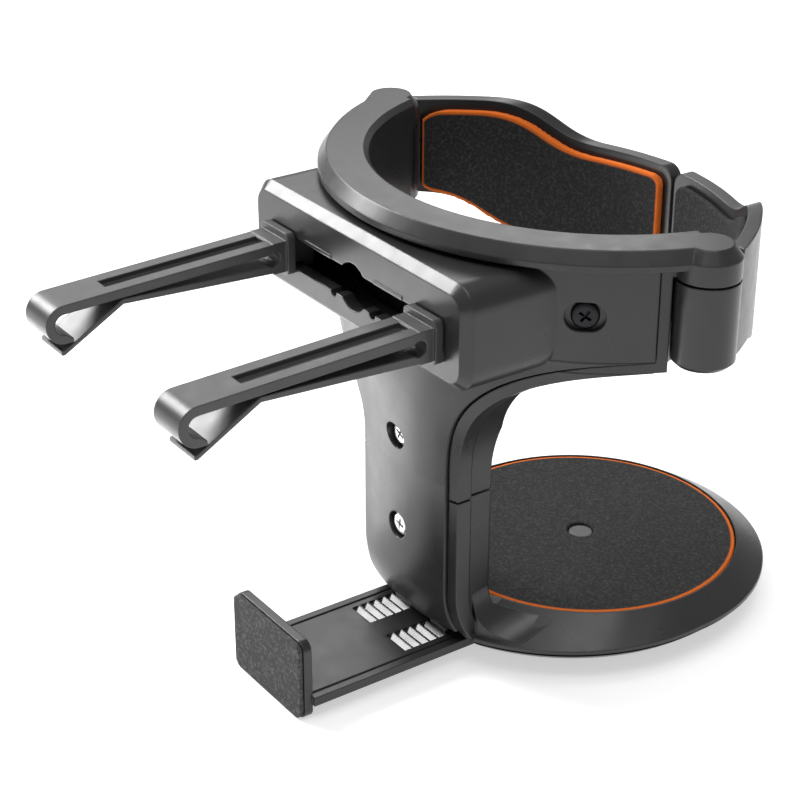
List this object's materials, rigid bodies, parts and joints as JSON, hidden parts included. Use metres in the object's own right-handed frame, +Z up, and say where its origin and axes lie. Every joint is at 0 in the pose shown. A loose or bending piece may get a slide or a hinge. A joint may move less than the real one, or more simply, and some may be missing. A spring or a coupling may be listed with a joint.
{
  "type": "car air-vent cup holder",
  "caption": "Cup holder that clips to a car air vent: ring with sprung padded arms, column, padded tray, sliding vent clips and an extending toothed support leg.",
  "frame": {"origin": "on the axis of the cup, in the plane that the base plate stands on", "axes": "+Z up along the cup axis, -Y towards the air vent, +X to the right seen from the vent's side of the model with +Y ahead"},
  "size_m": [0.0928, 0.1263, 0.0825],
  "materials": {
    "black_abs": "satin moulded ABS",
    "clip_plastic": "satin moulded nylon",
    "foam": "closed-cell foam, open grain on its face",
    "steel": "zinc plated",
    "dark_steel": "black oxide",
    "spring_steel": "drawn spring wire and strip"
  },
  "bodies": {
    "holder": {"front_cover": "black_abs", "ring_frame": "black_abs", "tray": "black_abs", "base_plate": "black_abs", "tray_pad": "foam", "detent_leaf": "spring_steel", "right_hinge_pin": "steel", "left_hinge_pin": "steel", "right_arm_spring": "spring_steel", "left_arm_spring": "spring_steel", "upper_column_screw": "steel", "lower_column_screw": "steel", "right_panel_screw": "dark_steel", "left_panel_screw": "dark_steel", "left_front_base_screw": "dark_steel", "left_back_base_screw": "dark_steel", "right_front_base_screw": "dark_steel", "right_back_base_screw": "dark_steel"},
    "right_arm": {"right_arm": "black_abs", "right_arm_pad": "foam"},
    "left_arm": {"left_arm": "black_abs", "left_arm_pad": "foam"},
    "right_clip": {"right_clip": "clip_plastic"},
    "left_clip": {"left_clip": "clip_plastic"},
    "leg": {"support_leg": "black_abs", "foot_pad": "foam"}
  },
  "joints": [
    {"name": "right_arm_swing", "type": "hinge", "parent": "holder", "child": "right_arm", "pos_m": [0.0414, -0.0132, 0.07], "axis": [0, 0, -1], "range_deg": [0, 40], "stiffness_Nm_per_rad": 0.06, "deforming": ["right_arm_spring"]},
    {"name": "left_arm_swing", "type": "hinge", "parent": "holder", "child": "left_arm", "pos_m": [-0.0414, -0.0132, 0.07], "axis": [0, 0, 1], "range_deg": [0, 40], "stiffness_Nm_per_rad": 0.06, "deforming": ["left_arm_spring"]},
    {"name": "right_clip_slide", "type": "slide", "parent": "holder", "child": "right_clip", "axis": [-1, 0, 0], "range_m": [-0.0012, 0.012]},
    {"name": "left_clip_slide", "type": "slide", "parent": "holder", "child": "left_clip", "axis": [1, 0, 0], "range_m": [-0.0012, 0.012]},
    {"name": "leg_slide", "type": "slide", "parent": "holder", "child": "leg", "axis": [0, 1, 0], "range_m": [0, 0.00875], "deforming": ["detent_leaf"]}
  ]
}
